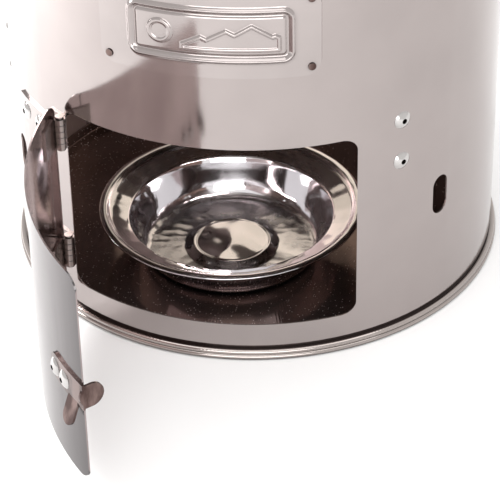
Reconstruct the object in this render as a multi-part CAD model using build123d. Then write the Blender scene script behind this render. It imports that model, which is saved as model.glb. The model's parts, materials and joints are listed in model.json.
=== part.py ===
from build123d import *
import math
import os

# Camp smoker: a rolled sheet-steel drum with a hinged fire door, a chip dish on
# the floor, a drip tray and a wire rack on inner brackets, and a lift-off lid.
# Millimetres. +Z up, origin on the ground on the drum axis, door towards -Y.
# Azimuth 0 is the front (-Y); positive azimuth turns towards +X.

# ---- drum ----------------------------------------------------------------
WALL_R = 130.0
SHEET = 0.8
WALL_IN = WALL_R - SHEET
WALL_BOTTOM = 5.6
WALL_TOP = 330.0
HEM_R = 1.6
GROOVE_TOP = 7.4
GROOVE_DEEP = 0.4

# ---- fire door opening ----------------------------------------------------
OPEN_HALF_AZ = 34.8
OPEN_BOTTOM = 20.5
OPEN_TOP = 125.6
OPEN_CORNER = 7.0

# ---- air vents -------------------------------------------------------------
VENT_AZ = (58.3, 180.0, -58.3)
VENT_W = 11.0
VENT_H = 22.5
VENT_Z = 72.5

# ---- floor pan and rolled seam ----------------------------------------------
FLOOR_TOP = 6.4
UPSTAND_TOP = 13.0
UPSTAND_R = 129.1
SEAM_IN = 127.5
UPPER_BEAD = (131.2, 4.05, 1.5)
LOWER_BEAD = (131.7, 1.5, 1.5)
FOOT_RING = (129.4, 132.2)

# ---- blind rivets -----------------------------------------------------------
RIVET_HEAD_R = 4.8
RIVET_HEAD_H = 1.9
RIVET_EYE_R = 1.4
RIVET_EYE_DEEP = 1.4
RIVET_SHANK_R = 2.4
RIVET_TAIL_R = 3.3
RIVET_TAIL_H = 3.0
HOLE_PLAY = 0.05

# ---- inner brackets ---------------------------------------------------------
BRACKET_AZ = (46.0, 166.0, -74.0)
BRACKET_T = 1.2
BRACKET_HALF_AZ = 3.5
BRACKET_LEDGE_IN = 113.0
BRACKET_LEG = 40.0
TRAY_LEDGE_Z = 136.0
TRAY_RIVET_Z = (104.5, 128.0)
RACK_LEDGE_Z = 254.0
RACK_RIVET_Z = (222.0, 245.5)

# ---- badge plate --------------------------------------------------------------
BADGE_AZ = 2.3
BADGE_W = 110.0
BADGE_BOTTOM = 165.6
BADGE_TOP = 212.0
BADGE_T = 0.6
BADGE_CORNER = 9.0
BADGE_RELIEF = 0.7
BADGE_PIN_R = 1.2
BADGE_FRAME_AZ = 3.0
BADGE_FRAME_W = 78.0
BADGE_FRAME_H = 28.0
BADGE_FRAME_LINE = 1.8

# ---- door stay strip on the wall -------------------------------------------------
STAY_AZ = (-54.6, -41.2)
STAY_Z = (99.6, 115.4)
STAY_T = 1.2
STAY_RIVET_AZ = (-51.4, -44.6)
STAY_RIVET_Z = 107.5
STAY_TAB = 4.0

# ---- door ---------------------------------------------------------------------
PIN_AZ = -35.0
PIN_RADIAL = 133.3
PIN_R = 1.5
KNUCKLE_R = 3.0
KNUCKLE_BORE = 1.55
KNUCKLES = 5
KNUCKLE_GAP = 0.3
HINGE_H = 17.2
HINGE_Z = (41.9, 113.4)
HINGE_LEAF_T = 1.0
HINGE_CLEAR = 3.8
BODY_LEAF_T = 0.9
BODY_LEAF_AZ = 4.9
DOOR_LEAF = 13.0
DOOR_T = 0.8
DOOR_RADIUS = 176.0
DOOR_END_RADIAL = 137.1
DOOR_END_AZ = (-35.5, 33.0)
DOOR_BOTTOM = 12.5
DOOR_TOP = 129.6
DOOR_CORNER = 8.0
DOOR_OPEN = 69.0

# ---- door latch -----------------------------------------------------------------
LATCH_T = 1.2
LATCH_Z = (57.0, 71.5)
LATCH_BACK = 32.5
LATCH_END_R = 6.0
LATCH_RIVET_BACK = (27.3, 16.6)
LATCH_RIVET_Z = 63.6
TONGUE_GAP = 0.4
TONGUE_LEN = 9.5
TONGUE_H = 13.0
PULL_BACK = 8.0
PULL_W = 9.6
PULL_LEN = 17.0
PULL_TILT = 20.0

# ---- chip dish -------------------------------------------------------------------
DISH_X = -5.9
DISH_Y = -39.8
DISH_T = 0.8
DISH_FOOT_Z = 6.8
DISH_RIM_Z = 35.0
DISH_LEDGE_Z = 29.6
DISH_BOSS = 3.2
DISH_RIM_R = 71.6

# ---- drip tray ---------------------------------------------------------------------
TRAY_T = 0.8
TRAY_RIM_R = 126.0
TRAY_WALL_R = 111.5
TRAY_DEEP = 12.0
LIFT_GAP = 0.3

# ---- wire rack -----------------------------------------------------------------------
RACK_RING_R = 121.0
RACK_RING_WIRE = 2.0
RACK_BAR_WIRE = 1.5
RACK_PITCH = 13.0
RACK_BARS = 17
RACK_CROSS_Y = (-55.0, 55.0)
WELD = 0.25

# ---- lid --------------------------------------------------------------------------------
LID_T = 0.8
LID_TOP = 372.0
LID_FLAT_R = 62.0
LID_SLOPE_R = 118.0
LID_RISE = 16.0
LID_SHOULDER_Z = 331.2
LID_SHOULDER_R = 127.0
LID_SKIRT_R = 136.0
LID_SKIRT_Z = 318.0
LID_HOLE_R = 4.0
LID_HOLE_RING = 92.0
POST_X = 38.0
POST_R = 6.0
POST_H = 24.0
TENON_R = 3.0
TENON_H = 6.0
GRIP_R = 10.0
GRIP_LEN = 112.0
SCREW_R = 2.0
SCREW_IN = 12.0
SCREW_HEAD_R = 4.2
SCREW_HEAD_H = 2.2

# ---- thermometer on the front slope of the lid -------------------------------------------
DIAL_RING = 90.0
DIAL_CASE_R = 25.0
DIAL_CASE_BACK = 0.1
DIAL_CASE_FRONT = 10.0
DIAL_WALL = 1.5
DIAL_FACE_T = 0.6
GLASS_T = 1.2
ARBOR_R = 0.8
NEEDLE_LEN = 17.0
STEM_R = 3.0
STEM_LEN = 45.0
NUT_AF = 14.0
NUT_T = 4.0


def polar(radius, azimuth):
    a = math.radians(azimuth)
    return (radius * math.sin(a), -radius * math.cos(a))


def sector(r0, r1, a0, a1, z0, z1, centre=(0.0, 0.0)):
    """Piece of a tube between two radii, two azimuths and two heights."""
    def at(radius, azimuth):
        x, y = polar(radius, azimuth)
        return (x + centre[0], y + centre[1])
    mid = (a0 + a1) / 2
    edges = [
        ThreePointArc(at(r1, a0), at(r1, mid), at(r1, a1)),
        Line(at(r1, a1), at(r0, a1)),
        ThreePointArc(at(r0, a1), at(r0, mid), at(r0, a0)),
        Line(at(r0, a0), at(r1, a0)),
    ]
    face = make_face(Wire(edges).edges())
    return Pos(0, 0, z0) * extrude(face, z1 - z0, dir=(0, 0, 1))


def ring(r0, r1, z0, z1):
    return Pos(0, 0, (z0 + z1) / 2) * (
        Cylinder(r1, z1 - z0) - Cylinder(r0, z1 - z0 + 2)
    )


def radial_plane(azimuth, radius, z, centre=(0.0, 0.0)):
    """Plane facing outwards: local x runs round the drum, local y is up."""
    x, y = polar(1.0, azimuth)
    origin = (centre[0] + radius * x, centre[1] + radius * y, z)
    return Plane(origin=origin, x_dir=(-y, x, 0), z_dir=(x, y, 0))


def sheet_of_revolution(edges, thickness, side):
    path = Wire(edges)
    outline = offset(path, amount=thickness, side=side)
    flat = make_face(outline.edges())
    return revolve(Plane.XZ * flat, axis=Axis.Z)


def rivet(azimuth, face_r, z, depth, centre=(0.0, 0.0)):
    """Blind rivet: domed head with an eye, shank and a swollen tail."""
    dome_r = (RIVET_HEAD_R**2 + RIVET_HEAD_H**2) / (2 * RIVET_HEAD_H)
    dome = Pos(0, 0, RIVET_HEAD_H - dome_r) * Sphere(dome_r)
    head = dome & Pos(0, 0, RIVET_HEAD_H / 2) * Cylinder(RIVET_HEAD_R, RIVET_HEAD_H)
    eye = Pos(0, 0, RIVET_HEAD_H - RIVET_EYE_DEEP / 2) * Cylinder(RIVET_EYE_R, RIVET_EYE_DEEP)
    shank = Pos(0, 0, -depth / 2) * Cylinder(RIVET_SHANK_R, depth)
    tail = Pos(0, 0, -depth - RIVET_TAIL_H / 2) * Cylinder(RIVET_TAIL_R, RIVET_TAIL_H)
    return radial_plane(azimuth, face_r, z, centre) * (head + shank + tail - eye)


def rivet_hole(azimuth, radius, z, centre=(0.0, 0.0)):
    hole = Cylinder(RIVET_SHANK_R + HOLE_PLAY, 12.0)
    return radial_plane(azimuth, radius, z, centre) * hole


def save(name, *solids):
    shape = solids[0] if len(solids) == 1 else Compound(children=list(solids))
    export_step(shape, f"parts/{name}.step")


# ---------------------------------------------------------------- door geometry
def door_frame():
    """Centre, half angle and middle azimuth of the door's own, flatter arc."""
    e0 = polar(DOOR_END_RADIAL, DOOR_END_AZ[0])
    e1 = polar(DOOR_END_RADIAL, DOOR_END_AZ[1])
    mx, my = (e0[0] + e1[0]) / 2, (e0[1] + e1[1]) / 2
    half = math.hypot(e1[0] - e0[0], e1[1] - e0[1]) / 2
    reach = math.hypot(mx, my)
    back = math.sqrt(DOOR_RADIUS**2 - half**2)
    k = (reach - back) / reach
    return (mx * k, my * k), math.degrees(math.asin(half / DOOR_RADIUS)), sum(DOOR_END_AZ) / 2


DOOR_C, DOOR_HALF, DOOR_MID = door_frame()
DOOR_IN = DOOR_RADIUS - DOOR_T / 2
DOOR_OUT = DOOR_RADIUS + DOOR_T / 2
DOOR_END = DOOR_MID + DOOR_HALF
PIN_XY = polar(PIN_RADIAL, PIN_AZ)


def door_az(back):
    """Azimuth on the door arc at a distance back from its free edge."""
    return DOOR_END - math.degrees(back / DOOR_RADIUS)


def opened(shape):
    """Turn a piece built on the shut door to the open rest position."""
    return Pos(*PIN_XY, 0) * Rot(0, 0, -DOOR_OPEN) * Pos(-PIN_XY[0], -PIN_XY[1], 0) * shape


# ------------------------------------------------------------------------ drum
def body_shell():
    shell = ring(WALL_IN, WALL_R, WALL_BOTTOM, WALL_TOP - HEM_R)
    shell += Pos(0, 0, WALL_TOP - HEM_R) * Torus(WALL_IN + HEM_R, HEM_R)
    shell -= ring(WALL_R - GROOVE_DEEP, WALL_R + 1, WALL_BOTTOM - 1, GROOVE_TOP)
    width = 2 * WALL_R * math.sin(math.radians(OPEN_HALF_AZ))
    mouth = RectangleRounded(width, OPEN_TOP - OPEN_BOTTOM, OPEN_CORNER)
    shell -= radial_plane(0, 60, (OPEN_TOP + OPEN_BOTTOM) / 2) * extrude(mouth, 90)
    for azimuth in VENT_AZ:
        slot = SlotOverall(VENT_H, VENT_W, rotation=90)
        shell -= radial_plane(azimuth, WALL_R - 6, VENT_Z) * extrude(slot, 12)
    for azimuth in BRACKET_AZ:
        for z in TRAY_RIVET_Z + RACK_RIVET_Z:
            shell -= rivet_hole(azimuth, WALL_R, z)
    for azimuth in STAY_RIVET_AZ:
        shell -= rivet_hole(azimuth, WALL_R, STAY_RIVET_Z)
    for plane in badge_pin_planes():
        shell -= plane * Cylinder(BADGE_PIN_R + HOLE_PLAY, 8)
    return shell


def base_pan():
    seam = ring(SEAM_IN, UPPER_BEAD[0], 0.9, WALL_BOTTOM - 0.05)
    pan = seam + ring(*FOOT_RING, 0, 1.5)
    for r, z, bead in (UPPER_BEAD, LOWER_BEAD):
        pan += Pos(0, 0, z) * Torus(r, bead)
    pan += ring(UPSTAND_R - SHEET, UPSTAND_R, WALL_BOTTOM - 1, UPSTAND_TOP)
    pan += Pos(0, 0, FLOOR_TOP - SHEET / 2) * Cylinder(UPSTAND_R - SHEET / 2, SHEET)
    return pan


def brackets(ledge_z, rivet_z):
    made = []
    leg_r = WALL_IN - 0.02
    for azimuth in BRACKET_AZ:
        a0, a1 = azimuth - BRACKET_HALF_AZ, azimuth + BRACKET_HALF_AZ
        leg = sector(leg_r - BRACKET_T, leg_r, a0, a1, ledge_z - BRACKET_LEG, ledge_z)
        ledge = sector(BRACKET_LEDGE_IN, leg_r - 0.5, a0, a1, ledge_z - BRACKET_T, ledge_z)
        piece = leg + ledge
        for z in rivet_z:
            piece -= rivet_hole(azimuth, WALL_IN, z)
        made.append(piece)
    return made


def bracket_rivets(rivet_z):
    depth = SHEET + BRACKET_T + 0.05
    return [rivet(a, WALL_R, z, depth) for a in BRACKET_AZ for z in rivet_z]


# ----------------------------------------------------------------------- badge
def badge_pin_planes():
    reach_az = math.degrees((BADGE_W / 2 - 5) / WALL_R)
    heights = (BADGE_BOTTOM + 5, BADGE_TOP - 5)
    return [
        radial_plane(BADGE_AZ + side * reach_az, WALL_R, z)
        for side in (-1, 1)
        for z in heights
    ]


def badge_plate():
    mid_z = (BADGE_BOTTOM + BADGE_TOP) / 2
    height = BADGE_TOP - BADGE_BOTTOM
    half_az = math.degrees(BADGE_W / 2 / WALL_R)
    r0 = WALL_R + 0.02
    r1 = r0 + BADGE_T
    skin = sector(r0, r1, BADGE_AZ - half_az, BADGE_AZ + half_az, BADGE_BOTTOM, BADGE_TOP)
    chord = 2 * r1 * math.sin(math.radians(half_az))
    outline = RectangleRounded(chord, height, BADGE_CORNER)
    plate = skin & (radial_plane(BADGE_AZ, 80, mid_z) * extrude(outline, 70))
    for plane in badge_pin_planes():
        plate -= plane * Cylinder(BADGE_PIN_R + HOLE_PLAY, 8)
    relief = sector(r0 + 0.3, r1 + BADGE_RELIEF, BADGE_FRAME_AZ - 22, BADGE_FRAME_AZ + 22,
                    BADGE_BOTTOM, BADGE_TOP)
    return plate + (relief & (radial_plane(BADGE_FRAME_AZ, 90, mid_z) * badge_emblem()))


def badge_emblem():
    """Plain relief: a rounded frame, a ridge of hills and a ringed disc."""
    w, h, line = BADGE_FRAME_W, BADGE_FRAME_H, BADGE_FRAME_LINE
    art = RectangleRounded(w, h, 6) - RectangleRounded(w - 2 * line, h - 2 * line, 6 - line)
    low = -h / 2 + 5
    hills = Polygon((-33, low), (-22, 5), (-15, -2), (-6, 9), (3, -2), (8, 3), (16, low), align=None)
    valley = Polygon((-29, low + 2), (-22, 1.5), (-15, -5), (-6, 5), (3, -5), (8, -1), (12, low + 2),
                     align=None)
    art += hills - valley
    for outer in (8.6, 4.4):
        art += Pos(26, 0) * (Circle(outer) - Circle(outer - 1.6))
    return extrude(art, 60)


def badge_pins():
    made = []
    for plane in badge_pin_planes():
        pin = Pos(0, 0, -0.4) * Cylinder(BADGE_PIN_R, 2.8)
        made.append(plane * (pin + Pos(0, 0, 0.95) * Cylinder(1.9, 0.55)))
    return made


# ------------------------------------------------------------------ stay strip
def stay_strip():
    r0 = WALL_R + 0.02
    strip = sector(r0, r0 + STAY_T, *STAY_AZ, *STAY_Z)
    tip = STAY_AZ[1] - math.degrees(STAY_T / WALL_R)
    strip += sector(r0, r0 + STAY_T + STAY_TAB, tip, STAY_AZ[1], *STAY_Z)
    for azimuth in STAY_RIVET_AZ:
        strip -= rivet_hole(azimuth, WALL_R, STAY_RIVET_Z)
    return strip


def stay_rivets():
    face = WALL_R + 0.02 + STAY_T
    return [rivet(a, face, STAY_RIVET_Z, STAY_T + SHEET + 0.07) for a in STAY_RIVET_AZ]


# ---------------------------------------------------------------------- hinges
def knuckle_spans(z_mid, odd):
    """Height spans of every second knuckle of one hinge."""
    each = (HINGE_H - (KNUCKLES - 1) * KNUCKLE_GAP) / KNUCKLES
    low = z_mid - HINGE_H / 2
    starts = [low + i * (each + KNUCKLE_GAP) for i in range(KNUCKLES)]
    return [(z, z + each) for i, z in enumerate(starts) if (i % 2 == 1) == odd]


def knuckle(z0, z1):
    return Pos(*PIN_XY, (z0 + z1) / 2) * Cylinder(KNUCKLE_R, z1 - z0)


def knuckle_bore(z_mid):
    return Pos(*PIN_XY, z_mid) * Cylinder(KNUCKLE_BORE, HINGE_H + 2)


def body_leaf(z_mid):
    r0 = WALL_R + 0.02
    r1 = r0 + BODY_LEAF_T
    clear = PIN_AZ - math.degrees(HINGE_CLEAR / WALL_R)
    z0, z1 = z_mid - HINGE_H / 2, z_mid + HINGE_H / 2
    leaf = sector(r0, r1, PIN_AZ - BODY_LEAF_AZ, clear, z0, z1)
    for span in knuckle_spans(z_mid, odd=False):
        leaf += sector(r0, r1, clear - 0.1, PIN_AZ, *span) + knuckle(*span)
    return leaf - knuckle_bore(z_mid)


def door_leaf(z_mid):
    """Door half of a hinge, tucked inside the door sheet, built on the shut door."""
    r1 = DOOR_IN
    r0 = r1 - HINGE_LEAF_T
    start = DOOR_MID - DOOR_HALF + 0.1
    clear = start + math.degrees(HINGE_CLEAR / DOOR_RADIUS)
    end = clear + math.degrees(DOOR_LEAF / DOOR_RADIUS)
    z0, z1 = z_mid - HINGE_H / 2, z_mid + HINGE_H / 2
    leaf = sector(r0, r1, clear, end, z0, z1, DOOR_C)
    for span in knuckle_spans(z_mid, odd=True):
        leaf += sector(r0, r1, start, clear + 0.1, *span, DOOR_C) + knuckle(*span)
    return leaf - knuckle_bore(z_mid)


def hinge_pin(z_mid):
    pin = Pos(*PIN_XY, z_mid) * Cylinder(PIN_R, HINGE_H + 0.8)
    for end in (-1, 1):
        pin += Pos(*PIN_XY, z_mid + end * (HINGE_H / 2 + 0.8)) * Cylinder(PIN_R + 0.7, 0.8)
    return pin


# ------------------------------------------------------------------------ door
def door_panel():
    height = DOOR_TOP - DOOR_BOTTOM
    mid_z = (DOOR_TOP + DOOR_BOTTOM) / 2
    sheet = sector(DOOR_IN, DOOR_OUT, DOOR_MID - DOOR_HALF, DOOR_END, DOOR_BOTTOM, DOOR_TOP, DOOR_C)
    chord = 2 * DOOR_OUT * math.sin(math.radians(DOOR_HALF))
    outline = RectangleRounded(chord, height, DOOR_CORNER)
    sheet &= radial_plane(DOOR_MID, 100, mid_z, DOOR_C) * extrude(outline, 90)
    for back in LATCH_RIVET_BACK:
        sheet -= rivet_hole(door_az(back), DOOR_RADIUS, LATCH_RIVET_Z, DOOR_C)
    return sheet


def latch_plate():
    r0 = DOOR_OUT
    r1 = r0 + LATCH_T
    edge = DOOR_END + math.degrees((TONGUE_GAP + LATCH_T) / DOOR_RADIUS)
    plate = sector(r0, r1, door_az(LATCH_BACK), edge, *LATCH_Z, DOOR_C)
    back_end = radial_plane(door_az(LATCH_BACK), r1, sum(LATCH_Z) / 2, DOOR_C).origin
    corners = plate.edges().filter_by(lambda e: abs(e.length - LATCH_T) < 0.01)
    plate = fillet(corners.sort_by_distance(back_end)[:2], LATCH_END_R)
    x, y = polar(1.0, edge)
    tongue_plane = Plane(
        origin=(DOOR_C[0] + r1 * x, DOOR_C[1] + r1 * y, sum(LATCH_Z) / 2),
        x_dir=(-x, -y, 0),
        z_dir=(y, -x, 0),
    )
    reach = LATCH_T + DOOR_T + TONGUE_LEN
    round_r = TONGUE_H / 2
    blade = Pos((reach - round_r) / 2, 0) * Rectangle(reach - round_r, TONGUE_H)
    blade += Pos(reach - round_r, 0) * Circle(round_r)
    plate += tongue_plane * extrude(blade, LATCH_T)
    pull = Pos(0, -PULL_LEN / 2 + 3) * SlotOverall(PULL_LEN, PULL_W, rotation=90)
    grip = Rot(-PULL_TILT, 0, 0) * extrude(pull, LATCH_T)
    foot = radial_plane(door_az(PULL_BACK), r0 + 0.1, LATCH_Z[0] + 1, DOOR_C)
    outside = sector(r0, r1 + 20, door_az(60), DOOR_END + 5, 10, 90, DOOR_C)
    plate += (foot * grip) & outside
    for back in LATCH_RIVET_BACK:
        plate -= rivet_hole(door_az(back), DOOR_RADIUS, LATCH_RIVET_Z, DOOR_C)
    return plate


def latch_rivets():
    face = DOOR_OUT + LATCH_T
    depth = LATCH_T + DOOR_T + 0.02
    return [rivet(door_az(b), face, LATCH_RIVET_Z, depth, DOOR_C) for b in LATCH_RIVET_BACK]


# ------------------------------------------------------------------- inner pans
def chip_dish():
    z = DISH_FOOT_Z + DISH_T
    path = FilletPolyline(
        (0, z + DISH_BOSS), (20, z + DISH_BOSS), (27, z), (44.5, z), (47.6, z + 2.2), (50.6, z + 8.0),
        (55.0, DISH_LEDGE_Z - 1.0), (56.6, DISH_LEDGE_Z), (66.0, DISH_RIM_Z - 1.8),
        (67.4, DISH_RIM_Z), (DISH_RIM_R, DISH_RIM_Z - 0.3), radius=1.3,
    )
    return Pos(DISH_X, DISH_Y, 0) * sheet_of_revolution(path.edges(), DISH_T, Side.RIGHT)


def drip_tray():
    top = TRAY_LEDGE_Z + LIFT_GAP + TRAY_T
    low = top - TRAY_DEEP
    path = FilletPolyline(
        (0, low), (TRAY_WALL_R - 5, low), (TRAY_WALL_R, top), (TRAY_RIM_R, top), radius=2.0
    )
    return sheet_of_revolution(path.edges(), TRAY_T, Side.RIGHT)


# ------------------------------------------------------------------------- rack
RACK_Z = RACK_LEDGE_Z + LIFT_GAP + RACK_RING_WIRE


def rack_ring():
    return Pos(0, 0, RACK_Z) * Torus(RACK_RING_R, RACK_RING_WIRE)


def rack_bar(offset_mm, z, along_x):
    half = math.sqrt(RACK_RING_R**2 - offset_mm**2)
    bar = Cylinder(RACK_BAR_WIRE, 2 * half)
    if along_x:
        return Pos(0, offset_mm, z) * Rot(0, 90, 0) * bar
    return Pos(offset_mm, 0, z) * Rot(90, 0, 0) * bar


def rack_bars():
    z = RACK_Z + RACK_RING_WIRE + RACK_BAR_WIRE - WELD
    first = -(RACK_BARS - 1) / 2 * RACK_PITCH
    return [rack_bar(first + i * RACK_PITCH, z, along_x=False) for i in range(RACK_BARS)]


def rack_cross_bars():
    z = RACK_Z + RACK_RING_WIRE - RACK_BAR_WIRE
    reach = RACK_RING_R - RACK_RING_WIRE
    made = []
    for y in RACK_CROSS_Y:
        half = math.sqrt(reach**2 - y**2) + 0.5
        made.append(Pos(0, y, z) * Rot(0, 90, 0) * Cylinder(RACK_BAR_WIRE, 2 * half))
    return made


# -------------------------------------------------------------------------- lid
def lid_shell():
    slope_foot = (LID_SLOPE_R, LID_SHOULDER_Z + LID_RISE)
    path = FilletPolyline(
        (0, LID_TOP), (LID_FLAT_R, LID_TOP), slope_foot, (LID_SHOULDER_R, LID_SHOULDER_Z),
        (LID_SKIRT_R, LID_SHOULDER_Z), (LID_SKIRT_R, LID_SKIRT_Z), radius=1.6,
    )
    lid = sheet_of_revolution(path.edges(), LID_T, Side.RIGHT)
    for x in (-POST_X, POST_X):
        lid -= Pos(x, 0, LID_TOP) * Cylinder(SCREW_R + HOLE_PLAY, 6)
    for azimuth in (60, 180, 300):
        x, y = polar(LID_HOLE_RING, azimuth)
        lid -= Pos(x, y, LID_TOP - 10) * Cylinder(LID_HOLE_R, 40)
    return lid - disc(STEM_R + 0.1, -4, 4)


def lid_posts():
    base = LID_TOP + 0.02
    made = []
    for x in (-POST_X, POST_X):
        post = Pos(x, 0, base + POST_H / 2) * Cylinder(POST_R, POST_H)
        post += Pos(x, 0, base + POST_H + TENON_H / 2) * Cylinder(TENON_R, TENON_H)
        post -= Pos(x, 0, base + SCREW_IN / 2) * Cylinder(SCREW_R + HOLE_PLAY, SCREW_IN)
        made.append(post)
    return made


def lid_grip():
    z = LID_TOP + POST_H + 0.1 + GRIP_R - 1.2
    grip = Rot(0, 90, 0) * Cylinder(GRIP_R, GRIP_LEN)
    grip = Pos(0, 0, z) * fillet(grip.edges().filter_by(GeomType.CIRCLE), 4)
    for x in (-POST_X, POST_X):
        grip -= Pos(x, 0, z - GRIP_R) * Cylinder(POST_R + HOLE_PLAY, 2.4 + 0.1)
        grip -= Pos(x, 0, z - GRIP_R + 4) * Cylinder(TENON_R + HOLE_PLAY, 8)
    return grip


def lid_screws():
    made = []
    under = LID_TOP - LID_T - 0.02
    for x in (-POST_X, POST_X):
        shank = Pos(x, 0, under + SCREW_IN / 2) * Cylinder(SCREW_R, SCREW_IN)
        made.append(shank + Pos(x, 0, under - SCREW_HEAD_H / 2) * Cylinder(SCREW_HEAD_R, SCREW_HEAD_H))
    return made


# ------------------------------------------------------------------ thermometer
LID_SLOPE = math.atan2(LID_TOP - LID_SHOULDER_Z - LID_RISE, LID_SLOPE_R - LID_FLAT_R)


def dial_plane(height):
    """Plane parallel to the lid's front slope, at a height above its surface."""
    ny, nz = -math.sin(LID_SLOPE), math.cos(LID_SLOPE)
    z = LID_TOP - (DIAL_RING - LID_FLAT_R) * math.tan(LID_SLOPE)
    origin = (0, -DIAL_RING + height * ny, z + height * nz)
    return Plane(origin=origin, x_dir=(1, 0, 0), z_dir=(0, ny, nz))


def disc(radius, h0, h1):
    """Disc on the dial axis between two heights above the lid."""
    return dial_plane((h0 + h1) / 2) * Cylinder(radius, h1 - h0)


FACE_H = DIAL_CASE_BACK + DIAL_WALL + 0.02
GLASS_H = DIAL_CASE_FRONT - 1.0 - GLASS_T


def dial_case():
    case = disc(DIAL_CASE_R, DIAL_CASE_BACK, DIAL_CASE_FRONT)
    case -= disc(DIAL_CASE_R - DIAL_WALL, DIAL_CASE_BACK + DIAL_WALL, GLASS_H + GLASS_T + 0.02)
    case -= disc(DIAL_CASE_R - DIAL_WALL - 1.2, GLASS_H, DIAL_CASE_FRONT + 1)
    return case - disc(STEM_R + HOLE_PLAY, DIAL_CASE_BACK - 1, DIAL_CASE_BACK + DIAL_WALL + 1)


def dial_face():
    face = disc(DIAL_CASE_R - DIAL_WALL - 0.1, FACE_H, FACE_H + DIAL_FACE_T)
    return face - disc(ARBOR_R + HOLE_PLAY, FACE_H - 1, FACE_H + 2)


def dial_glass():
    return disc(DIAL_CASE_R - DIAL_WALL - 0.1, GLASS_H, GLASS_H + GLASS_T)


def dial_stem():
    stem = disc(STEM_R, -STEM_LEN, FACE_H - 0.05)
    return stem + disc(ARBOR_R, FACE_H - 0.5, FACE_H + DIAL_FACE_T + 2.4)


def dial_nut():
    nut = extrude(RegularPolygon(NUT_AF / 2, 6, major_radius=False), NUT_T)
    low = -LID_T - 0.2 - NUT_T
    return dial_plane(low) * nut - disc(STEM_R + HOLE_PLAY, low - 1, 0)


def dial_needle():
    low = FACE_H + DIAL_FACE_T + 0.8
    blade = Polygon((-1.1, -5), (1.1, -5), (0.5, NEEDLE_LEN), (-0.5, NEEDLE_LEN), align=None)
    needle = dial_plane(low) * extrude(blade + Circle(2.6), 0.6)
    return needle - disc(ARBOR_R + HOLE_PLAY, low - 1, low + 2)


def build():
    os.makedirs("parts", exist_ok=True)
    save("body_shell", body_shell())
    save("base_pan", base_pan())
    save("badge_plate", badge_plate())
    save("badge_pins", *badge_pins())
    save("tray_brackets", *brackets(TRAY_LEDGE_Z, TRAY_RIVET_Z))
    save("tray_bracket_rivets", *bracket_rivets(TRAY_RIVET_Z))
    save("rack_brackets", *brackets(RACK_LEDGE_Z, RACK_RIVET_Z))
    save("rack_bracket_rivets", *bracket_rivets(RACK_RIVET_Z))
    save("stay_strip", stay_strip())
    save("stay_rivets", *stay_rivets())
    save("hinge_body_leaves", *[body_leaf(z) for z in HINGE_Z])
    save("hinge_pins", *[hinge_pin(z) for z in HINGE_Z])
    save("hinge_door_leaves", *[opened(door_leaf(z)) for z in HINGE_Z])
    save("door_panel", opened(door_panel()))
    save("latch_plate", opened(latch_plate()))
    save("latch_rivets", *[opened(r) for r in latch_rivets()])
    save("chip_dish", chip_dish())
    save("drip_tray", drip_tray())
    save("rack_ring", rack_ring())
    save("rack_bars", *rack_bars())
    save("rack_cross_bars", *rack_cross_bars())
    save("lid_shell", lid_shell())
    save("lid_handle_posts", *lid_posts())
    save("lid_handle_grip", lid_grip())
    save("lid_handle_screws", *lid_screws())
    save("dial_case", dial_case())
    save("dial_face", dial_face())
    save("dial_glass", dial_glass())
    save("dial_needle", dial_needle())
    save("dial_stem", dial_stem())
    save("dial_nut", dial_nut())


build()
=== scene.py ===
import bmesh
import bpy
import json
import math
import random
from mathutils import Matrix, Vector


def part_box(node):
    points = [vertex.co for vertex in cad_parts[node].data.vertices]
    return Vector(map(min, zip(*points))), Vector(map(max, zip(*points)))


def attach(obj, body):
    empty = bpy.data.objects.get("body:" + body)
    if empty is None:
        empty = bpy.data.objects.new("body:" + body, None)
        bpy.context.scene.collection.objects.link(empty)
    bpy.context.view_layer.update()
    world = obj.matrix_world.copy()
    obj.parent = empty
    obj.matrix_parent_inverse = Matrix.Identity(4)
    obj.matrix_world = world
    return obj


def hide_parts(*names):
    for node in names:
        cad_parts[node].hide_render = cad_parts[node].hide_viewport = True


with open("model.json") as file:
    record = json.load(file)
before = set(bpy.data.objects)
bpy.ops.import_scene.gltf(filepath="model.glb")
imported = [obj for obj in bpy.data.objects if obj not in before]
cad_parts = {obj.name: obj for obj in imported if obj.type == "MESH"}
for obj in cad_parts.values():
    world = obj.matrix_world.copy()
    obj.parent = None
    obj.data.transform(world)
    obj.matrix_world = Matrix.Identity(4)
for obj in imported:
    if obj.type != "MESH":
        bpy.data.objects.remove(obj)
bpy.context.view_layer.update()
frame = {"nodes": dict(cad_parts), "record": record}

# The photographed view, in metres and degrees: the drum is seen from a little right of its door.
CAM_AZ = 12.4
CAM_DIST = 1.040
CAM_HEIGHT = 0.698
CAM_PITCH = 34.73
CAM_YAW = -0.264
CAM_ROLL = -1.226
CAM_LENS = 160.0

DRUM_R = 0.130

# Door, as it stands open at rest: the pin it turns on, the upright axis its panel curves about, and how
# far from the pin the folded hem ends.
DOOR_PIN = next(j["pos_m"] for j in frame["record"]["behaviour"]["joints"] if j["name"] == "door_hinge")
DOOR_ARC_CENTRE = (0.0951, -0.1263, 0.0)
HEM_REACH = 0.0092


def rgb(r, g, b):
    return (r, g, b, 1.0)


# Painted shade: the near-black laid into grooves, creases and nooks.
CREASE_SHADE = rgb(0.05, 0.035, 0.035)
DUST = rgb(0.80, 0.74, 0.72)


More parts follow.
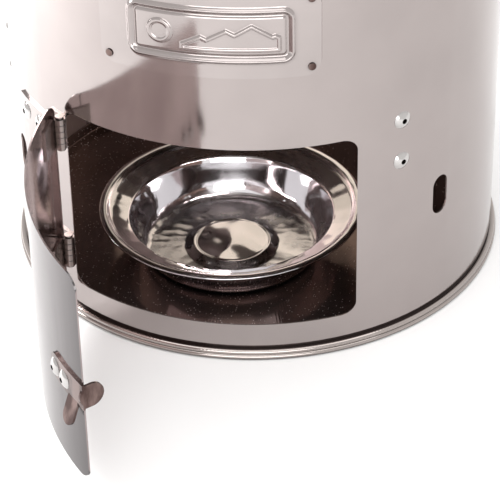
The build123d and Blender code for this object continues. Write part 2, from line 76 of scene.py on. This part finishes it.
# ---------------------------------------------------------------- node helpers
class Mat:
    """A procedural material being wired up."""

    INPUTS = {"color": "Base Color", "rough": "Roughness", "metal": "Metallic", "normal": "Normal",
              "ior": "IOR", "transmission": "Transmission Weight"}

    def __init__(self, name):
        self.m = bpy.data.materials.new(name)
        self.m.use_nodes = True
        self.t = self.m.node_tree
        self.t.nodes.clear()
        self.out = self.add("ShaderNodeOutputMaterial")
        self.bsdf = self.add("ShaderNodeBsdfPrincipled")
        self.link(self.bsdf.outputs[0], self.out.inputs[0])
        self.coord = self.add("ShaderNodeTexCoord").outputs["Object"]

    def add(self, kind, **props):
        n = self.t.nodes.new(kind)
        for k, v in props.items():
            setattr(n, k, v)
        return n

    def link(self, a, b):
        self.t.links.new(a, b)

    def put(self, socket, value):
        if isinstance(value, bpy.types.NodeSocket):
            self.link(value, socket)
        else:
            socket.default_value = value

    def math(self, op, a, b=0.0):
        n = self.add("ShaderNodeMath", operation=op)
        self.put(n.inputs[0], a)
        self.put(n.inputs[1], b)
        return n.outputs[0]

    def vmath(self, op, a, b):
        n = self.add("ShaderNodeVectorMath", operation=op)
        self.put(n.inputs[0], a)
        self.put(n.inputs[1], b)
        return n.outputs["Value" if op == "DOT_PRODUCT" else "Vector"]

    def split(self, v):
        n = self.add("ShaderNodeSeparateXYZ")
        self.put(n.inputs[0], v)
        return n.outputs

    def flat_dot(self, a, b):
        """Dot product of two split vectors, seen from above."""
        return self.math("ADD", self.math("MULTIPLY", a[0], b[0]), self.math("MULTIPLY", a[1], b[1]))

    def reach(self, p):
        """How far a split position is from the Z axis."""
        return self.math("SQRT", self.flat_dot(p, p))

    def inner_side(self, normal, away):
        """1 on faces that look toward an upright axis, given the position away from that axis."""
        return self.remap(self.flat_dot(self.split(normal), self.split(away)), 0.01, -0.01, 0.0, 1.0)

    def noise(self, scale, detail=3.0, stretch=(1.0, 1.0, 1.0)):
        m = self.add("ShaderNodeMapping")
        self.put(m.inputs["Vector"], self.coord)
        m.inputs["Scale"].default_value = stretch
        n = self.add("ShaderNodeTexNoise")
        self.link(m.outputs[0], n.inputs["Vector"])
        n.inputs["Scale"].default_value = scale
        n.inputs["Detail"].default_value = detail
        return n.outputs[0]

    def dots(self, scale, size, share):
        """Fine scattered specks: 1 inside a speck, 0 elsewhere."""
        v = self.add("ShaderNodeTexVoronoi", feature="F1")
        self.link(self.coord, v.inputs["Vector"])
        v.inputs["Scale"].default_value = scale
        pick = self.math("LESS_THAN", self.split(v.outputs["Color"])[0], share)
        return self.math("MULTIPLY", pick, self.math("LESS_THAN", v.outputs["Distance"], size))

    def remap(self, value, lo, hi, to_lo, to_hi):
        n = self.add("ShaderNodeMapRange")
        self.put(n.inputs["Value"], value)
        n.inputs["From Min"].default_value = lo
        n.inputs["From Max"].default_value = hi
        self.put(n.inputs["To Min"], to_lo)
        self.put(n.inputs["To Max"], to_hi)
        return n.outputs[0]

    def blend(self, fac, a, b):
        """Value a where fac is 0, b where it is 1."""
        return self.math("ADD", self.math("MULTIPLY", a, self.math("SUBTRACT", 1.0, fac)),
                         self.math("MULTIPLY", b, fac))

    def mix(self, fac, a, b):
        """Colour a where fac is 0, b where it is 1."""
        n = self.add("ShaderNodeMix", data_type="RGBA")
        self.put(n.inputs[0], fac)
        self.put(n.inputs[6], a)
        self.put(n.inputs[7], b)
        return n.outputs[2]

    def bump(self, height, distance, normal=None):
        n = self.add("ShaderNodeBump")
        n.inputs["Distance"].default_value = distance
        self.put(n.inputs["Height"], height)
        if normal is not None:
            self.link(normal, n.inputs["Normal"])
        return n.outputs[0]

    def set(self, **values):
        for key, value in values.items():
            self.put(self.bsdf.inputs[self.INPUTS[key]], value)

    def now(self, key):
        """What drives a shader input so far, to build on."""
        return self.bsdf.inputs[self.INPUTS[key]].links[0].from_socket


# ------------------------------------------------------------------- materials
WEAR_WIDTH = 0.0006
SPECK_SCALE = 820.0
SPECK_SIZE = 0.19
SPECK_ROUGH = 0.8
SPECK_METAL = 0.1


def edge_wear(mat):
    """1 near sharp edges, 0 elsewhere."""
    bevel = mat.add("ShaderNodeBevel", samples=4)
    bevel.inputs["Radius"].default_value = WEAR_WIDTH
    geo = mat.add("ShaderNodeNewGeometry")
    dot = mat.vmath("DOT_PRODUCT", bevel.outputs[0], geo.outputs["Normal"])
    return mat.remap(dot, 0.995, 0.90, 0.0, 1.0)


def paint_nook_shade(mat, reach, dark, power=1.5):
    """Painted shade: darken the nooks, such as rivet eyes, seams and the lines where parts meet."""
    ao = mat.add("ShaderNodeAmbientOcclusion", samples=6)
    ao.inputs["Distance"].default_value = reach
    nook = mat.math("POWER", mat.math("SUBTRACT", 1.0, ao.outputs["AO"]), power)
    mat.set(color=mat.mix(mat.math("MULTIPLY", nook, 1.6), mat.now("color"), dark))


def steel(name, color, rough, smudge=0.06, stretch=(1.0, 1.0, 14.0), brush=0.00001, wave=0.0,
          dirt=0.05):
    """Polished sheet: rolling lines, finger smudges, faint waviness and duller patches."""
    m = Mat(name)
    lines = m.noise(260.0, 2.0, stretch)
    blot = m.noise(22.0, 5.0)
    fine = m.noise(140.0, 3.0)
    sheen = m.math("ADD", m.remap(blot, 0.35, 0.75, rough, rough + smudge),
                   m.remap(fine, 0.3, 0.8, 0.0, 0.02))
    sheen = m.math("ADD", sheen, m.remap(lines, 0.3, 0.8, 0.0, smudge * 0.4))
    dark = rgb(*[c * (1.0 - dirt * 2.2) for c in color[:3]])
    tint = m.mix(m.remap(blot, 0.42, 0.72, 0.0, 1.0), color, dark)
    normal = m.bump(lines, brush)
    if wave:
        normal = m.bump(m.noise(9.0, 1.0, (1.0, 1.0, 0.6)), wave, normal)
    m.set(color=tint, rough=sheen, metal=1.0, normal=normal)
    return m


def drum_material():
    """Polished outside; brown, smoke-stained and duller inside, told apart by the way a face looks."""
    groove_low, groove_top = 0.0071, 0.0077
    dust_low, dust_top = 0.01, 0.09
    m = steel("drum_steel", rgb(0.395, 0.350, 0.340), 0.07, 0.07, (1.0, 1.0, 16.0), 0.000006, 0.00012,
              0.03)
    normal = m.add("ShaderNodeNewGeometry").outputs["True Normal"]
    height = m.split(m.coord)[2]
    inside = m.inner_side(normal, m.coord)
    stain = m.noise(14.0, 6.0)
    dust = m.math("MULTIPLY", m.dots(SPECK_SCALE, SPECK_SIZE, 0.28),
                  m.remap(height, dust_low, dust_top, 0.9, 0.1))
    brown = m.mix(m.remap(stain, 0.35, 0.7, 0.0, 1.0), rgb(0.52, 0.43, 0.41), rgb(0.40, 0.31, 0.29))
    brown = m.mix(dust, brown, DUST)
    inner_rough = m.blend(dust, m.remap(stain, 0.3, 0.75, 0.16, 0.34), SPECK_ROUGH)
    inner_metal = m.blend(dust, 0.72, SPECK_METAL)
    # Painted shade: the groove just above the base seam is darkened outside.
    groove = m.math("MULTIPLY", m.remap(height, groove_low, groove_top, 0.85, 0.0),
                    m.math("SUBTRACT", 1.0, inside))
    m.set(color=m.mix(inside, m.mix(groove, m.now("color"), CREASE_SHADE), brown),
          rough=m.blend(inside, m.now("rough"), inner_rough),
          metal=m.blend(inside, 1.0, inner_metal))
    return m.m


def base_material():
    """Bright rolled seam outside, with fine ribs worn in places; dark glossy speckled floor inside."""
    floor_edge, seam_edge = 0.1290, 0.1294
    ribs_low, ribs_top = 0.0030, 0.0042
    ribs_per_radian = 420.0
    dust_from, dust_to = 0.085, 0.126
    m = steel("base_steel", rgb(0.42, 0.375, 0.355), 0.09, 0.06, (1.0, 1.0, 10.0), 0.000004)
    p = m.split(m.coord)
    radius = m.reach(p)
    inner = m.remap(radius, floor_edge, seam_edge, 1.0, 0.0)
    ribs = m.math("SINE", m.math("MULTIPLY", m.math("ARCTAN2", p[0], p[1]), ribs_per_radian))
    ribs = m.math("MULTIPLY", ribs, m.remap(p[2], ribs_low, ribs_top, 0.0, 1.0))
    ribs = m.math("MULTIPLY", ribs, m.remap(m.noise(30.0, 3.0), 0.45, 0.65, 0.0, 1.0))
    dust = m.math("MULTIPLY", m.dots(SPECK_SCALE, SPECK_SIZE, 0.30),
                  m.remap(radius, dust_from, dust_to, 0.3, 0.9))
    stain = m.noise(18.0, 6.0)
    floor = m.mix(m.remap(stain, 0.38, 0.7, 0.0, 1.0), rgb(0.20, 0.145, 0.135), rgb(0.12, 0.075, 0.06))
    floor = m.mix(dust, floor, DUST)
    floor_rough = m.blend(dust, m.remap(stain, 0.3, 0.75, 0.07, 0.20), SPECK_ROUGH)
    floor_metal = m.blend(dust, 0.85, SPECK_METAL)
    m.set(color=m.mix(inner, m.now("color"), floor),
          rough=m.blend(inner, m.now("rough"), floor_rough),
          metal=m.blend(inner, 1.0, floor_metal),
          normal=m.bump(ribs, 0.00002, m.now("normal")))
    # Painted shade in the nooks of the rolled seam and floor pan.
    paint_nook_shade(m, 0.003, rgb(0.03, 0.022, 0.02))
    return m.m


def door_material():
    """Paler outside, with a painted reflection darkening it toward the latch; brown and smoky inside, with
    painted shade along the hem by the hinge edge.
    """
    dark_reflection_from, dark_reflection_to = 0.07, 0.15
    crease_width = 0.0004
    m = steel("door_steel", rgb(0.290, 0.277, 0.274), 0.09, 0.07, (1.0, 1.0, 14.0), 0.000008, 0.0001, 0.03)
    turn = m.add("ShaderNodeVectorTransform", vector_type="NORMAL", convert_from="WORLD",
                 convert_to="OBJECT")
    m.link(m.add("ShaderNodeNewGeometry").outputs["True Normal"], turn.inputs[0])
    inside = m.inner_side(turn.outputs[0], m.vmath("SUBTRACT", m.coord, DOOR_ARC_CENTRE))
    stain = m.noise(24.0, 5.0)
    smoke = m.mix(m.remap(stain, 0.35, 0.7, 0.0, 1.0), rgb(0.62, 0.52, 0.51), rgb(0.46, 0.37, 0.365))
    reach = m.reach(m.split(m.vmath("SUBTRACT", m.coord, DOOR_PIN)))
    # Painted shade: a dark line along the fold of the hem inside, also bumped in as a dent.
    crease = m.math("ABSOLUTE", m.math("SUBTRACT", reach, HEM_REACH))
    crease = m.math("MULTIPLY", m.remap(crease, 0.0, crease_width, 1.0, 0.0), inside)
    # Painted reflection: the outside darkens with distance from the hinge pin, toward the latch.
    outer = m.mix(m.remap(reach, dark_reflection_from, dark_reflection_to, 0.0, 1.0), m.now("color"), rgb(0.110, 0.103, 0.103))
    m.bsdf.inputs["Specular Tint"].default_value = rgb(0.88, 0.865, 0.87)
    m.set(color=m.mix(m.math("MULTIPLY", crease, 0.8), m.mix(inside, outer, smoke), CREASE_SHADE),
          rough=m.blend(inside, m.now("rough"), m.remap(stain, 0.3, 0.75, 0.07, 0.16)),
          normal=m.bump(m.math("MULTIPLY", crease, -1.0), 0.0002, m.now("normal")))
    return m.m


def dish_material():
    """Bright polished steel, duller on the hammered ring of the bottom."""
    m = steel("dish_steel", rgb(0.80, 0.78, 0.80), 0.04, 0.05, (1.0, 1.0, 1.0), 0.000004, 0.0, 0.05)
    radius = m.reach(m.split(m.vmath("SUBTRACT", m.coord, (*DISH_CENTRE, 0.0))))
    ring = m.math("MULTIPLY", m.remap(radius, HAMMER_IN - 0.005, HAMMER_IN - 0.001, 0.0, 1.0),
                  m.remap(radius, HAMMER_OUT - 0.002, HAMMER_OUT + 0.002, 1.0, 0.0))
    matt = m.remap(m.noise(90.0, 4.0), 0.35, 0.65, 0.14, 0.30)
    m.set(rough=m.blend(ring, m.now("rough"), matt))
    # Painted shade in the dish's dents and folds.
    paint_nook_shade(m, 0.0015, rgb(0.10, 0.09, 0.11), 1.3)
    return m.m


def small_steel(name, color, rough, heat=0.0):
    """Steel of a small fitting, bright along its edges; heat adds dark streaks."""
    m = steel(name, color, rough, 0.08, (1.0, 1.0, 6.0), 0.000006)
    bright = rgb(*[min(1.0, 1.15 * sum(color[:3]) / 3)] * 3)
    m.set(color=m.mix(m.math("MULTIPLY", edge_wear(m), 0.7), m.now("color"), bright))
    if heat:
        streaks = m.remap(m.noise(150.0, 4.0, (1.0, 1.0, 0.35)), 0.42, 0.60, 0.0, heat)
        m.set(color=m.mix(streaks, m.now("color"), rgb(0.05, 0.028, 0.025)))
    return m.m


def rivet_material():
    m = steel("rivet_steel", rgb(0.56, 0.54, 0.53), 0.09, 0.05, (1.0, 1.0, 1.0), 0.000004)
    # Painted shade in the rivet eyes and where the heads meet the parts.
    paint_nook_shade(m, 0.004, rgb(0.02, 0.015, 0.015), 1.0)
    return m.m


def grip_material():
    m = Mat("grip_black")
    grain = m.noise(900.0, 2.0)
    blot = m.noise(40.0, 4.0)
    color = m.mix(m.remap(blot, 0.35, 0.7, 0.0, 1.0), rgb(0.018, 0.017, 0.016), rgb(0.035, 0.033, 0.031))
    m.set(color=color, rough=m.remap(blot, 0.3, 0.7, 0.42, 0.56), normal=m.bump(grain, 0.00004))
    return m.m


def dial_material():
    """Plain scale: a ring of ticks and one red arc, no figures."""
    tick_in, tick_out, tick_width = 0.0165, 0.0195, 0.02
    hot_in, hot_out, hot_from = 0.0205, 0.0218, 0.9
    m = Mat("dial_print")
    low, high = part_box("dial_face")
    d = m.vmath("SUBTRACT", m.coord, tuple((a + b) / 2 for a, b in zip(low, high)))
    slope = math.atan2(high[2] - low[2], high[1] - low[1])
    v = m.vmath("DOT_PRODUCT", d, (0.0, math.cos(slope), math.sin(slope)))
    u = m.split(d)[0]
    angle = m.math("ARCTAN2", u, v)
    radius = m.reach((u, v))
    tick = m.math("LESS_THAN", m.math("PINGPONG", angle, math.pi / 24), tick_width)
    band = m.math("MULTIPLY", m.math("GREATER_THAN", radius, tick_in), m.math("LESS_THAN", radius, tick_out))
    hot = m.math("MULTIPLY", m.math("GREATER_THAN", radius, hot_in), m.math("LESS_THAN", radius, hot_out))
    hot = m.math("MULTIPLY", hot, m.math("GREATER_THAN", angle, hot_from))
    paper = m.noise(300.0, 3.0)
    face = m.mix(m.remap(paper, 0.3, 0.7, 0.0, 1.0), rgb(0.78, 0.77, 0.73), rgb(0.70, 0.69, 0.65))
    face = m.mix(hot, face, rgb(0.45, 0.06, 0.04))
    face = m.mix(m.math("MULTIPLY", tick, band), face, rgb(0.02, 0.02, 0.02))
    m.set(color=face, rough=m.remap(paper, 0.3, 0.7, 0.4, 0.55))
    return m.m


def glass_material():
    m = Mat("dial_glass")
    smear = m.noise(60.0, 4.0)
    m.set(color=rgb(0.97, 0.98, 0.98), rough=m.remap(smear, 0.35, 0.75, 0.01, 0.06), transmission=1.0,
          ior=1.45)
    return m.m


def needle_material():
    m = Mat("needle_red")
    blot = m.noise(200.0, 3.0)
    color = m.mix(m.remap(blot, 0.3, 0.7, 0.0, 1.0), rgb(0.42, 0.03, 0.02), rgb(0.34, 0.03, 0.02))
    m.set(color=color, rough=m.remap(blot, 0.3, 0.7, 0.28, 0.40))
    return m.m


def badge_material():
    m = steel("badge_steel", rgb(0.43, 0.385, 0.375), 0.08, 0.06, (1.0, 1.0, 12.0), 0.000005)
    # Painted shade round the badge's relief and along its edge.
    paint_nook_shade(m, 0.0022, CREASE_SHADE, 1.2)
    return m.m


def lid_material():
    return steel("lid_steel", rgb(0.60, 0.565, 0.545), 0.09, 0.07, (1.0, 1.0, 1.0), 0.000006, 0.0001,
                 0.03).m


def paint(material, *names):
    for name in names:
        slots = frame["nodes"][name].data.materials
        slots.clear()
        slots.append(material)


bracket = small_steel("bracket_steel", rgb(0.40, 0.37, 0.35), 0.24)
latch = small_steel("latch_steel", rgb(0.20, 0.140, 0.128), 0.08, 0.85)
hinge = small_steel("hinge_steel", rgb(0.27, 0.225, 0.21), 0.18)
stay = small_steel("stay_steel", rgb(0.40, 0.36, 0.35), 0.10)
wire = small_steel("wire_steel", rgb(0.66, 0.65, 0.63), 0.14)
paint(drum_material(), "body_shell")
paint(door_material(), "door_panel")
paint(lid_material(), "lid_shell")
paint(latch, "badge_pins", "latch_plate")
paint(rivet_material(), "tray_bracket_rivets", "rack_bracket_rivets", "stay_rivets", "latch_rivets",
      "lid_handle_screws", "dial_case")
paint(bracket, "tray_brackets", "rack_brackets", "lid_handle_posts", "dial_stem", "dial_nut")
paint(stay, "stay_strip")
paint(hinge, "hinge_body_leaves", "hinge_pins", "hinge_door_leaves")
paint(wire, "rack_ring", "rack_bars", "rack_cross_bars")
paint(small_steel("tray_steel", rgb(0.55, 0.53, 0.51), 0.22), "drip_tray")
paint(grip_material(), "lid_handle_grip")
paint(dial_material(), "dial_face")
paint(glass_material(), "dial_glass")
paint(needle_material(), "dial_needle")


# ------------------------------------------------------------------ chip dish
def dish_profile():
    """Upper skin of the pressed dish as radius and height above its foot, in millimetres."""
    return [
        (0.0, 4.0), (10.0, 4.0), (17.0, 4.0), (20.0, 3.8), (22.5, 2.6), (25.0, 1.2), (27.5, 0.8), (34.0, 0.8),
        (41.5, 0.8), (44.6, 1.0), (47.0, 2.3), (48.9, 5.0), (50.4, 8.4), (51.9, 12.5), (53.4, 17.0),
        (54.7, 20.9), (55.4, 22.2), (56.6, 22.8), (60.5, 24.2), (64.6, 25.6), (66.2, 26.6), (67.4, 27.7),
        (68.8, 28.1), (70.4, 27.95), (71.3, 27.6),
    ]


def smooth_profile(points, steps):
    """Catmull-Rom through the points."""
    pts = [points[0]] + points + [points[-1]]
    out = []
    for i in range(1, len(pts) - 2):
        for k in range(steps):
            t = k / steps
            q = []
            for a, b, c, d in zip(pts[i - 1], pts[i], pts[i + 1], pts[i + 2]):
                q.append(0.5 * (2 * b + (c - a) * t + (2 * a - 5 * b + 4 * c - d) * t * t
                                + (3 * b - a - 3 * c + d) * t ** 3))
            out.append(tuple(q))
    out.append(points[-1])
    return out


DISH_LOW, DISH_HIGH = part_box("chip_dish")
DISH_CENTRE = ((DISH_LOW[0] + DISH_HIGH[0]) / 2, (DISH_LOW[1] + DISH_HIGH[1]) / 2)
DISH_SHEET = 0.0008
DISH_TURNS = 288
HAMMER_MARKS = 260
HAMMER_IN = 0.029
HAMMER_OUT = 0.048
HAMMER_SIZE = (0.0030, 0.0056)
HAMMER_DEPTH = (0.0002, 0.0005)
BOSS_R = 0.0205
BOSS_WAVE = 0.0004
LEDGE_R = 0.0562
LEDGE_WAVE = 0.00007
FOOT_GAP = 0.00005


def hammer_marks():
    """Dents spread over the flat ring of the bottom: place, size and depth of each."""
    rnd = random.Random(7)
    marks = []
    for _ in range(HAMMER_MARKS):
        r = math.sqrt(rnd.uniform(HAMMER_IN ** 2, HAMMER_OUT ** 2))
        a = rnd.random() * 2 * math.pi
        marks.append((r * math.cos(a), r * math.sin(a),
                      rnd.uniform(*HAMMER_SIZE), rnd.uniform(*HAMMER_DEPTH)))
    return marks


def dent_depth(x, y, marks):
    """Depth of the deepest mark at a place."""
    deepest = 0.0
    for mark_x, mark_y, size, depth in marks:
        q = ((x - mark_x) ** 2 + (y - mark_y) ** 2) / (size * size)
        if q < 5:
            deepest = max(deepest, depth * math.exp(-q))
    return deepest


def hand_work(r, a, marks):
    """How far the upper skin stands from the plain pressed shape: marks, uneven boss, wavy ledge."""
    x, y = r * math.cos(a), r * math.sin(a)
    rise = 0.0
    if HAMMER_IN - 0.004 < r < HAMMER_OUT + 0.006:
        rise -= dent_depth(x, y, marks)
    if r < BOSS_R:
        rise += BOSS_WAVE * (math.sin(170 * x + 90 * y + 1.1) * math.cos(130 * y - 60 * x) - 1.0)
    if r > LEDGE_R:
        rise += LEDGE_WAVE * math.sin(23 * a) * math.sin(9 * a + 1)
    return rise


def make_dish():
    """Both skins of the dish turned from its profile, joined at the rim."""
    marks = hammer_marks()
    profile = smooth_profile(dish_profile(), 5)
    verts, faces, rows = [], [], []
    for upper in (True, False):
        for r_mm, z_mm in profile:
            r = r_mm / 1000
            row = []
            for i in range(DISH_TURNS):
                a = 2 * math.pi * i / DISH_TURNS
                z = DISH_LOW[2] + z_mm / 1000 + (hand_work(r, a, marks) if upper else -DISH_SHEET)
                row.append(len(verts))
                verts.append((DISH_CENTRE[0] + r * math.cos(a), DISH_CENTRE[1] + r * math.sin(a),
                              max(z, DISH_LOW[2] + FOOT_GAP)))
            rows.append(row)
    half = len(profile)
    for first in (0, half):
        for j in range(first, first + half - 1):
            for i in range(DISH_TURNS):
                k = (i + 1) % DISH_TURNS
                quad = (rows[j][i], rows[j + 1][i], rows[j + 1][k], rows[j][k])
                faces.append(quad[::-1] if first else quad)
    for i in range(DISH_TURNS):
        k = (i + 1) % DISH_TURNS
        faces.append((rows[half - 1][i], rows[-1][i], rows[-1][k], rows[half - 1][k]))
    mesh = bpy.data.meshes.new("dish_bowl")
    mesh.from_pydata(verts, [], faces)
    mesh.validate()
    mesh.shade_smooth()
    obj = bpy.data.objects.new("dish_bowl", mesh)
    bpy.context.scene.collection.objects.link(obj)
    mesh.materials.append(dish_material())
    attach(obj, "dish")
    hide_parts("chip_dish")


make_dish()


# -------------------------------------------------------------------- base pan
def arc(cx, cz, radius, start, end, steps):
    """Points of an arc in the radius and height plane, angles in degrees."""
    turn = [math.radians(start + (end - start) * k / steps) for k in range(steps + 1)]
    return [(cx + radius * math.cos(t), cz + radius * math.sin(t)) for t in turn]


def finish_mesh(name, verts, faces, material, node, crease):
    """A piece of the drum, smooth except at edges sharper than the crease angle."""
    mesh = bpy.data.meshes.new(name)
    mesh.from_pydata(verts, [], faces)
    mesh.validate()
    work = bmesh.new()
    work.from_mesh(mesh)
    bmesh.ops.remove_doubles(work, verts=work.verts, dist=1e-7)
    bmesh.ops.recalc_face_normals(work, faces=work.faces)
    for face in work.faces:
        face.smooth = True
    for edge in work.edges:
        edge.smooth = edge.calc_face_angle(0.0) < math.radians(crease)
    work.to_mesh(mesh)
    work.free()
    obj = bpy.data.objects.new(name, mesh)
    bpy.context.scene.collection.objects.link(obj)
    mesh.materials.append(material)
    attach(obj, "drum")
    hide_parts(node)


def make_base():
    """Floor pan with its upstand and the two rolled beads of the seam, turned as one ring."""
    floor, upstand, seam = 6.4, 13.0, 5.55
    bend, bead = 0.9, 1.5
    pan_r, upstand_in, upstand_out = 127.4, 128.3, 129.1
    under, foot_in, foot_step = 5.6, 129.4, 127.5
    loop = [(0.0, floor), (60.0, floor), (100.0, floor), (120.0, floor), (pan_r, floor)]
    loop += arc(pan_r, floor + bend, bend, -90, 0, 6)
    loop += [(upstand_in, 10.0)] + arc(128.7, upstand - 0.4, 0.4, 180, 0, 8)
    loop += [(upstand_out, 9.0), (upstand_out, seam)]
    loop += arc(131.2, seam - bead, bead, 90, -48, 14) + arc(131.7, bead, bead, 48, -75, 14)
    loop += [(131.9, 0.0), (foot_in, 0.0), (foot_in, bend), (foot_step, bend), (foot_step, under),
             (60.0, under), (0.0, under)]
    turns = 360
    verts, faces = [], []
    for r, z in loop:
        for i in range(turns):
            a = 2 * math.pi * i / turns
            verts.append((r * math.sin(a) / 1000, r * math.cos(a) / 1000, z / 1000))
    for j in range(len(loop) - 1):
        for i in range(turns):
            k = (i + 1) % turns
            faces.append((j * turns + i, j * turns + k, (j + 1) * turns + k, (j + 1) * turns + i))
    finish_mesh("base_ring", verts, faces, base_material(), "base_pan", 35)


make_base()


# ------------------------------------------------------------------ badge plate
BADGE_AZ = math.radians(2.3)
BADGE_W = 0.110
BADGE_Z = (0.1656, 0.2120)
BADGE_CORNER = 0.009
BADGE_SKIN = (0.13004, 0.13062)
FRAME_AZ = math.radians(3.0)
FRAME = (0.0405, 0.0145, 0.006)


def step(x, lo, hi):
    """0 below lo, 1 above hi, with a smooth rise between."""
    t = min(1.0, max(0.0, (x - lo) / (hi - lo)))
    return t * t * (3 - 2 * t)


def rounded(u, v, half_w, half_h, corner):
    """Signed distance to a rounded rectangle, negative inside."""
    x, y = abs(u) - half_w + corner, abs(v) - half_h + corner
    return math.hypot(max(x, 0.0), max(y, 0.0)) + min(max(x, y), 0.0) - corner


def badge_relief(u, v):
    """Pressed frame round plain hills and a sun."""
    u -= DRUM_R * (FRAME_AZ - BADGE_AZ)
    d = rounded(u, v, *FRAME)
    h = 0.0014 * math.exp(-((d + 0.0012) / 0.0011) ** 2)
    h -= 0.00035 * math.exp(-((d + 0.0036) / 0.0008) ** 2)
    if d < -0.004:
        h += 0.0004 * step(-d, 0.004, 0.0055)
    hills = max(0.0042 - 0.55 * abs(u - 0.008), 0.0068 - 0.60 * abs(u - 0.020),
                0.0015 - 0.5 * abs(u - 0.031), 0.0005 - 0.5 * abs(u + 0.004))
    edge = min((hills - v) * 0.86, v + 0.0085, u + 0.014, 0.034 - u)
    h += 0.0008 * step(edge, 0.0, 0.0009) - 0.0005 * step(edge, 0.0016, 0.0024)
    sun = math.hypot(u + 0.024, v - 0.0005)
    h += 0.0008 * step(0.0066 - sun, 0.0, 0.0009) - 0.0004 * step(0.0046 - sun, 0.0, 0.0008)
    return h


def make_badge():
    """The plate wrapped round the drum as a height field, its rim turned down to the wall."""
    cols, rows = 340, 150
    half_h = (BADGE_Z[1] - BADGE_Z[0]) / 2
    verts, faces = [], []
    for j in range(rows + 1):
        v = half_h * (2 * j / rows - 1)
        dy = max(0.0, abs(v) - half_h + BADGE_CORNER)
        half_w = BADGE_W / 2 - BADGE_CORNER + math.sqrt(max(0.0, BADGE_CORNER ** 2 - dy * dy))
        for i in range(cols + 1):
            u = half_w * (2 * i / cols - 1)
            a = BADGE_AZ + u / DRUM_R
            rim = j in (0, rows) or i in (0, cols)
            r = BADGE_SKIN[0] if rim else BADGE_SKIN[1] + badge_relief(u, v)
            verts.append((r * math.sin(a), -r * math.cos(a), sum(BADGE_Z) / 2 + v))
    for j in range(rows):
        for i in range(cols):
            q = j * (cols + 1) + i
            faces.append((q, q + 1, q + cols + 2, q + cols + 1))
    finish_mesh("badge_relief", verts, faces, badge_material(), "badge_plate", 60)


make_badge()


# ------------------------------------------------------------- floor and light
FLOOR_HALF = 6.0
CREAM = (1.0, 0.88, 0.72)
ROSE = (1.0, 0.88, 0.86)


def make_floor():
    mesh = bpy.data.meshes.new("studio_floor")
    corners = [(-1, -1), (1, -1), (1, 1), (-1, 1)]
    mesh.from_pydata([(x * FLOOR_HALF, y * FLOOR_HALF, 0) for x, y in corners], [], [(0, 1, 2, 3)])
    obj = bpy.data.objects.new("studio_floor", mesh)
    bpy.context.scene.collection.objects.link(obj)
    m = Mat("studio_white")
    grain = m.noise(3.0, 2.0)
    m.set(color=m.mix(grain, rgb(0.90, 0.90, 0.90), rgb(0.94, 0.94, 0.94)), rough=0.9)
    mesh.materials.append(m.m)


def area(name, where, at, size, power, color=(1.0, 1.0, 1.0), spread=180):
    """A soft lamp aimed at a point; the camera does not see it, but steel mirrors it."""
    light = bpy.data.lights.new(name, "AREA")
    light.spread = math.radians(spread)
    light.shape = "RECTANGLE"
    light.size, light.size_y = size
    light.energy = power
    light.color = color
    obj = bpy.data.objects.new(name, light)
    obj.location = where
    obj.visible_camera = False
    obj.rotation_euler = (Vector(at) - Vector(where)).to_track_quat("-Z", "Y").to_euler()
    bpy.context.scene.collection.objects.link(obj)


make_floor()
area("key_left", (-0.64, 0.04, 0.38), (-0.37, -0.08, 0.0), (0.3, 0.3), 4.4)
area("fill_top", (0.2, -0.4, 2.4), (0.1, -0.3, 0.0), (2.4, 2.4), 26)
area("front_panel", (0.25, -1.45, 0.40), (0.0, 0.0, 0.08), (1.3, 0.6), 9)
# Not in the photograph: three small lamps inside the drum, to bring the chamber near the brightness it
# has there.
area("chamber_back", (0.004, 0.100, 0.106), (0.0, -0.05, 0.02), (0.10, 0.086), 0.0125, CREAM, 130)
area("chamber_left", (-0.082, 0.080, 0.104), (0.0, -0.05, 0.02), (0.05, 0.080), 0.0045, CREAM, 150)
area("chamber_front", (0.05, -0.080, 0.121), (-0.12, 0.02, 0.055), (0.10, 0.02), 0.055, ROSE, 120)


def make_world():
    """Even pale surroundings, and enough bounces for steel seen in steel."""
    scene = bpy.context.scene
    scene.world = bpy.data.worlds.new("studio")
    scene.world.use_nodes = True
    background = scene.world.node_tree.nodes["Background"]
    background.inputs["Color"].default_value = rgb(1.0, 0.99, 0.98)
    background.inputs["Strength"].default_value = 1.0
    scene.cycles.max_bounces = 16
    scene.cycles.glossy_bounces = 12
    scene.view_settings.view_transform = "Standard"


make_world()


# ---------------------------------------------------------------------- camera
def make_camera():
    """The photograph's view, turned about the drum's axis to where the camera stood."""
    cam = bpy.data.cameras.new("photo_view")
    cam.lens = CAM_LENS
    cam.sensor_width = 36.0
    cam.clip_end = 50
    obj = bpy.data.objects.new("photo_view", cam)
    pitch, yaw, roll = (math.radians(v) for v in (CAM_PITCH, CAM_YAW, CAM_ROLL))
    fwd = Vector((math.sin(yaw) * math.cos(pitch), math.cos(yaw) * math.cos(pitch), -math.sin(pitch)))
    right = Vector((math.cos(yaw), -math.sin(yaw), 0.0))
    up = right.cross(fwd)
    rolled_right = right * math.cos(roll) + up * math.sin(roll)
    rolled_up = up * math.cos(roll) - right * math.sin(roll)
    turn = Matrix.Rotation(math.radians(CAM_AZ), 4, "Z")
    basis = Matrix((rolled_right, rolled_up, -fwd)).transposed().to_4x4()
    obj.matrix_world = turn @ Matrix.Translation((0.0, -CAM_DIST, CAM_HEIGHT)) @ basis
    bpy.context.scene.collection.objects.link(obj)
    bpy.context.scene.camera = obj


make_camera()

bpy.context.view_layer.update()
